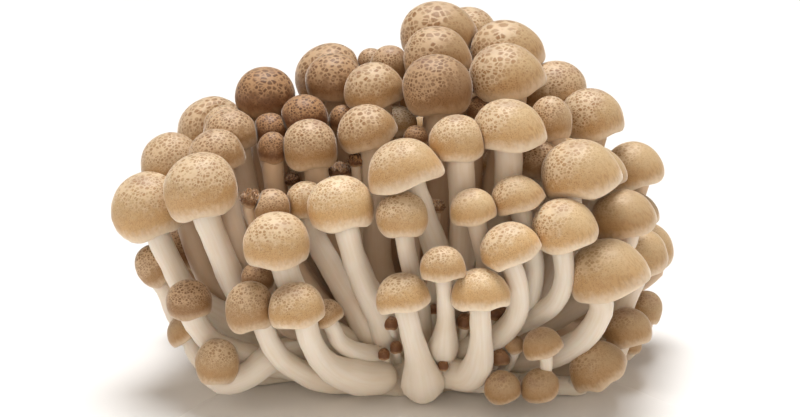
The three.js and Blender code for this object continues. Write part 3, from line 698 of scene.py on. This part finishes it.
for ring, (name, sizes) in enumerate(BACK_RINGS.items()):
    height, half_width, half_depth, count, size, lean, clear = sizes
    family = []
    for i in range(count):
        step = i + 10 * ring
        share = (i + 0.5 + 0.12 * vary(step)) / count
        turn = math.radians(clear + share * (180 - 2 * clear))
        side, rear = math.cos(turn), math.sin(turn)
        back = half_depth * rear + 3 * vary(step + 3)
        middle = Vector((half_width * side, back, height * (1 - 0.22 * side**2) + 4 * vary(step + 5)))
        width = size * (1 + 0.24 * vary(step + 7))
        tall = 0.72 + 0.06 * vary(step + 9)
        tone = 0.4 + 0.25 * vary(step + 11)
        # Painted shade on the stems: full inside the cluster, a little round the back.
        tip, shade = tipped(lean * side, -lean * rear), 1 if name == "inside" else 0.2
        stem = HIDDEN_STEM_SHARE * width
        family.append(Mushroom(f"{name}_{i + 1}", middle + STAND, width, tall, tip, 0, stem, tone, shade))
    finish_piece("stems_" + name, grow_stems(family), stem_flesh, "stems_and_butt")

# ------------------------------------------------------------------ the caps
# Each cap is one dome of firm flesh, its margin curled in over crowded pale gills. Its
# skin is matt and marbled with a pale net, which breaks up into flecks and fades to cream
# at the margin. Caps that grew against each other are pressed flat where they touch.

CAP_SIDES = 72
DOME_RINGS, CURL_RINGS = 16, 5
GILL_DEPTH = 0.04  # in cap heights
GILL_RINGS = (0.12, 0.35, 0.65, 1)  # from the curled lip in to the stem
MARBLE = 1.55  # the width of a mesh of the net at the top, in millimetres
FULL_GROWN = 8  # caps of at least this radius have meshes of that width
# How many times as coarse as that the net is on single caps.
COARSE = {
    "left_4": 1.3, "left_8": 1.5, "left_12": 1.5, "left_13": 1.3, "left_14": 1.25, "left_16": 1.2,
    "top_1": 1.9, "top_3": 1.5, "top_4": 1.7, "top_5": 1.3, "top_6": 1.45, "top_8": 1.2,
    "front_6": 0.85, "front_3": 0.8, "middle_3": 0.8, "middle_1": 0.85,
}
# Painted shade on the left side of each family's caps: how much stronger their marks are there than in their
# middle, and how much higher their darker band reaches there.
LEFT_SIDE_SHADE = {"top": 0.5, "middle": 0.4, "right": 0.6, "low": 0.3, "front": 0.2}
# How strongly the net is marked, on each family and on the caps that differ from theirs.
BOLD = {
    "left": 1, "hollow": 1, "top": 1, "middle": 0.75, "right": 0.5, "low": 0.35, "pin": 0.4, "front": 0.8,
    "back_high": 0.8, "back_middle": 0.6, "back_low": 0.5, "back_foot": 0.5, "inside": 1,
    "left_1": 0.75, "left_2": 0.85, "left_3": 0.8, "left_20": 0.3, "left_22": 0.7,
    "right_1": 0.7, "right_4": 0.7, "right_6": 0.7, "right_7": 0.3, "front_3": 0.6, "front_4": 0.8,
}
# Ragged margins: how many waves, how deep they are, and how far the rim flares, in radii.
# Every other margin has three shallow waves.
MARGINS = {"front_3": (5, 0.025, 0.04), "right_15": (6, 0.035, 0.03), "hollow_1": (4, 0.09, 0)}
# Caps that dried before they opened, so that their tops are torn and frizzled.
FRIZZLED = ("hollow_2", "hollow_3", "hollow_4", "hollow_6", "hollow_7")


def cap_outline(one):
    """Half of a cap cut through its middle: (out, up, way from the top, how far down)."""
    radius, height = one.width / 2, one.height
    (edge, _), (_, widest) = cap_side(height / one.width, (0,))
    edge, widest = edge * radius, widest * height
    points = []
    for i in range(DOME_RINGS + 1):
        bend = math.pi / 2 * i / DOME_RINGS
        out = radius * math.sin(bend) ** 0.9
        points.append((out, widest + (height - widest) * math.cos(bend)))
    for i in range(1, CURL_RINGS + 1):
        bend = math.pi / 2 * i / CURL_RINGS
        points.append((radius - (radius - edge) * (1 - math.cos(bend)), widest * (1 - math.sin(bend))))
    lip, rows = 0.03 * radius, []
    travelled, before = 0.0, points[0]
    for point in points:
        travelled += math.dist(before, point)
        rows.append([*point, travelled])
        before = point
    rows = [[*row, row[2] / travelled] for row in rows]
    under = [(edge - lip, 0.02 * height), (edge - 1.8 * lip, 0.06 * height)]
    stalk = 0.5 * one.stem
    for share in GILL_RINGS:
        under.append((edge - 2 * lip + (stalk - edge + 2 * lip) * share, (0.07 + 0.2 * share) * height))
    under.append((0, 0.28 * height))
    return rows + [[*point, travelled, 1.05 + 0.1 * i] for i, point in enumerate(under)]


MARKS = ("way", "rim", "tone", "crown", "bold", "gold")
PLACES = ("skin", "grain")


def spin_cap(one):
    """A dome spun from half its outline, curled in at the rim, with the gills' side beneath."""
    body = bmesh.new()
    for name in MARKS:
        body.verts.layers.float.new(name)
    for name in PLACES:
        body.verts.layers.float_vector.new(name)
    way, rim, tone = (body.verts.layers.float[name] for name in MARKS[:3])
    before = None
    for out, up, travelled, down in cap_outline(one):
        vert = body.verts.new((out, 0, up))
        vert[way], vert[rim], vert[tone] = travelled, down, one.tone
        if before:
            body.edges.new((before, vert))
        before = vert
    bmesh.ops.spin(
        body,
        geom=body.verts[:] + body.edges[:],
        axis=UP,
        cent=(0, 0, 0),
        angle=math.tau,
        steps=CAP_SIDES,
        use_merge=True,
    )
    bmesh.ops.remove_doubles(body, verts=body.verts, dist=0.001)
    return body


def mark_cap(body, one):
    """Gives every place on a cap what its skin's pattern is worked out from.

    The net is laid out from the top down, and gets finer on the way. It reaches further
    down on the side that the cap's crown leans to. On the left of each cap its marks are
    stronger and the darker band reaches higher, as painted shade.
    """
    way, rim, _, crown, bold, gold = (body.verts.layers.float[name] for name in MARKS)
    net, grain = (body.verts.layers.float_vector[name] for name in PLACES)
    family = one.name.rsplit("_", 1)[0]
    radius = one.width / 2
    coarse = MARBLE * COARSE.get(one.name, 1) * (0.5 + 0.5 * min(1, radius / FULL_GROWN))
    for vert in body.verts:
        turn = math.atan2(vert.co.y, vert.co.x)
        side, rear = math.cos(turn), math.sin(turn)
        spread = vert[way] * (1 + vert[way] / (1.8 * radius)) / coarse
        vert[net] = (side * spread, rear * spread, 11.3 * one.seed)
        vert[grain] = (side * radius, rear * radius, 0.4 * vert[way] + 7.1 * one.seed)
        vert[crown] = vert[rim] - 3.2 * one.skew * side * math.sin(math.pi * min(1, vert[rim]))
        # Painted shade: each cap's left side gets stronger marks and a higher darker band.
        left = -LEFT_SIDE_SHADE.get(family, 0) * vert.co.x / radius
        vert[bold] = BOLD.get(one.name, BOLD[family]) * (1 + left)
        vert[gold] = vert[rim] + 0.3 * left


def shape_cap(body, one):
    """Cuts the gills, and makes the dome uneven, its margin wavy and its crown lean."""
    rim = body.verts.layers.float["rim"]
    radius, height = one.width / 2, one.height
    waves, wave, flare = MARGINS.get(one.name, (3, 0.03, 0))
    for vert in body.verts:
        turn = math.atan2(vert.co.y, vert.co.x)
        low = min(1, vert[rim]) ** 4
        if 1.2 < vert[rim] < 1.55 and round(turn * CAP_SIDES / math.tau) % 2:
            vert.co.z -= GILL_DEPTH * height
        spread = 1 + 0.05 * uneven(vert.co, radius, one.seed) + 0.012 * uneven(vert.co, radius / 4, one.seed)
        spread += low * (flare + wave * math.sin(waves * turn + 9 * one.seed))
        if one.name in FRIZZLED and vert[rim] < 0.8:
            spread += 0.28 * uneven(vert.co, 0.5, one.seed)
            vert.co.z *= 0.8 + 0.35 * uneven(vert.co, 0.4, one.seed + 1)
        vert.co.x *= spread
        vert.co.y *= spread
        vert.co.z += low * height * wave * math.sin((waves + 1) * turn + 5 * one.seed)
        vert.co.x += one.skew * radius * (2 * vert.co.z / height - 1)
        vert.co.z -= height / 2


def grow_cap(one):
    """One cap, in its place."""
    body = spin_cap(one)
    mark_cap(body, one)
    shape_cap(body, one)
    bmesh.ops.transform(body, matrix=Matrix.Translation(one.middle) @ one.turn, verts=body.verts)
    for vert in body.verts:
        vert.co.z = max(vert.co.z, LEAST_HEIGHT)
    return body


WIDEST = 0.27  # how far up a cap is widest, in its height
SOFT = 0.2  # how gradually the flat turns back into the dome, in millimetres
LEAST_GAP = 0.2  # between two caps that touch, in millimetres
PRESS_WITHIN = 0.55  # caps further apart than this share of their summed widths are clear


def press(body, one, other):
    """Flattens a cap softly where it meets its neighbour."""
    centres, reaches = [], []
    for cap in (one, other):
        centres.append(cap.middle - cap.axis * (0.5 - WIDEST) * cap.height)
    between = centres[1] - centres[0]
    for cap, way in ((one, between), (other, -between)):
        local = cap.turn.to_3x3().transposed() @ way.normalized()
        tall = (1 - WIDEST if local.z > 0 else WIDEST) * cap.height
        reaches.append(math.hypot(local.x * cap.width / 2, local.y * cap.width / 2, local.z * tall))
    if sum(reaches) < between.length:
        return
    stop = (between.length + reaches[0] - reaches[1] - LEAST_GAP) / 2
    way = between.normalized()
    back = other.turn.to_3x3().transposed()
    swollen = Vector((2 / other.width, 2 / other.width, 1.4 / other.height))
    for vert in body.verts:
        deep = (vert.co - centres[0]).dot(way) - stop
        if deep > -4 * SOFT:
            reach = (back @ (vert.co - centres[1]) * swollen).length
            share = min(1, max(0, (1.5 - reach) / 0.3))
            vert.co -= way * share * SOFT * math.log(1 + math.exp(min(30, deep / SOFT)))
            vert.co.z = max(vert.co.z, LEAST_HEIGHT)


skin = Finish(
    "marbled cap skin",
    Roughness=0.5,
    Subsurface_Weight=0.1,
    Subsurface_Radius=(1.0, 0.5, 0.28),
    Subsurface_Scale=0.001,
    Specular_IOR_Level=0.4,
    Sheen_Weight=0.6,
    Sheen_Roughness=0.28,
    Sheen_Tint=(1, 0.93, 0.84, 1),
)
spread, rim, tone = skin.carried("skin", "Vector"), skin.carried("rim"), skin.carried("tone")
patch = skin.cloud(spread, 0.4, 2)


def stirred(where, scale, reach):
    """Places pushed about by up to the reach, so that straight lines come out wavy."""
    push = skin.cloud(where, scale, 2, out=1)
    return skin.node("VectorMath", {"operation": "MULTIPLY_ADD"}, {0: push, 1: (reach, reach, 0), 2: where})


wander = stirred(stirred(spread, 0.9, 0.5), 3.2, 0.2)
ragged = skin.cloud(spread, 4, 2)


def meshes(size, line, least):
    """1 inside the rounded meshes of a net and 0 on its lines; some meshes are darker."""
    edge = skin.node("TexVoronoi", {"feature": "DISTANCE_TO_EDGE"}, {"Vector": wander, "Scale": size})
    chance = skin.node("TexVoronoi", {"feature": "F1"}, {"Vector": wander, "Scale": size}, out=1)
    corner = Value(skin, chance.socket.node.outputs["Distance"])
    inside = skin.step(edge + (ragged - 0.5) * line, 0, line) * (1 - skin.step(corner, 0.4, 0.72))
    return inside * skin.step(chance, least, 1)


def aged_and_shaded(young, old):
    """A colour between its pale and its dark form, as the cap's tone says, which is partly the cap's own
    colour and partly painted shade.
    """
    return skin.mix(tone, paint(young), paint(old))


bold = skin.carried("bold")
place = skin.carried("crown") + (patch - 0.5) * 0.45 + (0.6 - bold) * 0.3
coarse = 1 - skin.step(place, 0.34, 0.62)
flecked = 1 - skin.step(place, 0.6, 1.0)
large, small = meshes(1, 0.2, -0.9), meshes(1.6, 0.24, -0.3)
flecks = skin.step(skin.cloud(skin.carried("grain", "Vector"), 1.7, 3), 0.46, 0.6)
mesh_colour, net_colour = aged_and_shaded("b28351", "55351f"), aged_and_shaded("edd9b8", "b0875f")
# The ground is pale on the crown and a darker tan lower down: partly the caps' own colours, partly a painted
# highlight on top and painted shade below.
band = skin.step(skin.carried("gold") + (patch - 0.5) * 0.3, 0.36, 0.8)
ground = skin.mix(band, aged_and_shaded("e3c99d", "7a5030"), aged_and_shaded("dcb57f", "744b2c"))
cream = aged_and_shaded("f7ead4", "bc9973")
netted = skin.mix(large, net_colour, skin.mix(small * 0.4, mesh_colour, ground))
speckled = skin.mix(small * (bold * 0.7 + 0.15), ground, mesh_colour)
plain = skin.mix(flecks * (bold * 0.45 + 0.25), ground, mesh_colour)
colour = skin.mix(coarse * bold, skin.mix(flecked, plain, speckled), netted)
# Mauve-brown patches here and there about the crown.
crown_blotches = (1 - skin.step(rim, 0.1, 0.6)) * skin.step(skin.cloud(spread, 0.15, 2), 0.48, 0.68)
colour = skin.mix(crown_blotches * 0.4, colour, paint("957362"))
colour = skin.mix(skin.step(rim + (patch - 0.5) * 0.15, 0.74, 0.98) * 0.85, colour, cream)
under = skin.step(rim, 1.02, 1.1)
colour = skin.mix(under, colour, aged_and_shaded("e9dbc4", "bfa384"))
parts = skin.node("SeparateXYZ", {}, {0: spread})
other = Value(skin, parts.socket.node.outputs["Y"])
around = skin.node("Math", {"operation": "ARCTAN2"}, {0: other, 1: parts})
gills = skin.node("Math", {"operation": "SINE"}, {0: around * 110})
skin.wire(
    skin.surface,
    {
        "Base Color": colour,
        "Roughness": patch * 0.2 + 0.42,
        "Normal": skin.relief(large * coarse * 0.6 + flecks * 0.2 + gills * under, 0.1, 0.6),
    },
)

for one in cluster:
    body = grow_cap(one)
    for other in cluster:
        near = (one.middle - other.middle).length < PRESS_WITHIN * (one.width + other.width)
        if near and other is not one:
            press(body, one, other)
    finish_piece(one.name + "_cap", body, skin, one.node)

# ------------------------------------------------------------ the table and the light
# A white table top with a slight shine that runs out of view behind the cluster. The main
# lamp is overhead and a little behind, and weaker, warmer ones fill in the sides and front.

TABLE_HEIGHT = -0.0002  # metres: just clear of the cut butt

table_top = Finish("white table top", Roughness=0.3)
smear = table_top.cloud(table_top.place(), 6, 2)
table_top.wire(
    table_top.surface,
    {
        "Base Color": table_top.mix(smear, paint("f6f5f4"), paint("f9f9f8")),
        "Roughness": smear * 0.1 + 0.22,
    },
)
table = bmesh.new()
bmesh.ops.create_grid(table, x_segments=8, y_segments=8, size=6)
for vert in table.verts:
    vert.co.z = TABLE_HEIGHT
mesh = bpy.data.meshes.new("table_top")
table.to_mesh(mesh)
table.free()
mesh.materials.append(table_top.material)
floor = bpy.data.objects.new("table_top", mesh)
bpy.context.scene.collection.objects.link(floor)

world = bpy.data.worlds.new("studio")
world.use_nodes = True
world.node_tree.nodes["Background"].inputs["Color"].default_value = (1, 0.93, 0.86, 1)
world.node_tree.nodes["Background"].inputs["Strength"].default_value = 0.18
bpy.context.scene.world = world


def lamp(name, toward, power, softness, colour):
    """A broad far lamp that shines toward a direction."""
    light = bpy.data.lights.new(name, "SUN")
    light.color = colour
    light.energy, light.angle = power, math.radians(softness)
    shown = bpy.data.objects.new(name, light)
    shown.rotation_euler = Vector(toward).to_track_quat("-Z", "Y").to_euler()
    bpy.context.scene.collection.objects.link(shown)


WARM = (1, 0.87, 0.74)
lamp("overhead", (0, -0.33, -1), 3.4, 32, (1, 1, 1))
lamp("left side", (1, 0.3, -0.5), 0.55, 60, WARM)
lamp("right side", (-1, 0.3, -0.5), 0.55, 60, WARM)
lamp("front", (0.1, 1, -0.3), 0.8, 60, WARM)

# ------------------------------------------------------------------ the camera
# It looks down a little at the front of the cluster, from 600 millimetres.

eye = bpy.data.cameras.new("camera")
eye.sensor_width, eye.lens, eye.clip_start = 36, 108, 0.01
camera = bpy.data.objects.new("camera", eye)
aim = (STAND + UP * AIM_HEIGHT) / 1000
reach = Vector((0, -math.cos(EYE_RAISE), math.sin(EYE_RAISE))) * EYE_DISTANCE / 1000
camera.location = aim + reach
camera.rotation_euler = (-reach).to_track_quat("-Z", "Y").to_euler()
bpy.context.scene.collection.objects.link(camera)
bpy.context.scene.camera = camera
bpy.context.scene.view_settings.view_transform = "Standard"
